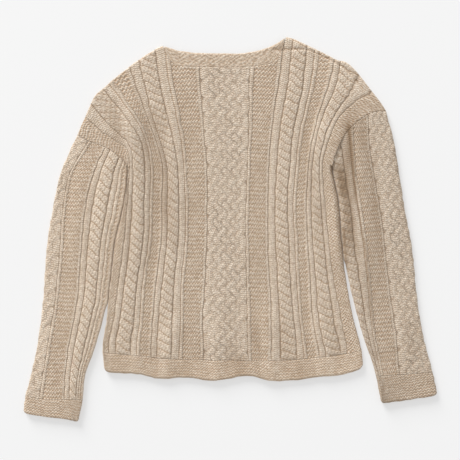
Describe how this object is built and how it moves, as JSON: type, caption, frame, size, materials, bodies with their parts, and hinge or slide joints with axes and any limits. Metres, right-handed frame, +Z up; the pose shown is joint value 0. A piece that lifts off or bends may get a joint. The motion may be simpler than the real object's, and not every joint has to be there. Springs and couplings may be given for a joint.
{
  "type": "cable knit sweater",
  "caption": "Long sleeved cable knit sweater laid out flat, back upwards, with plait, rope and ladder columns and garter bands.",
  "frame": {"origin": "middle of the outline, on the surface that the sweater lies on", "axes": "+Z up out of the garment's back, +Y towards the neck, +X towards the wearer's right sleeve"},
  "size_m": [0.732, 0.6782, 0.0109],
  "materials": {
    "panel_knit": "cabled oatmeal wool",
    "sleeve_knit": "cabled oatmeal wool",
    "band_knit": "garter and seed stitch in oatmeal wool"
  },
  "bodies": {
    "root": {"back_panel": "panel_knit", "front_panel": "panel_knit", "sleeve_left": "sleeve_knit", "sleeve_right": "sleeve_knit", "hem_band_back": "band_knit", "hem_band_front": "band_knit", "neck_band_back": "band_knit", "neck_band_front": "band_knit", "cuff_left": "band_knit", "cuff_right": "band_knit"}
  },
  "joints": []
}
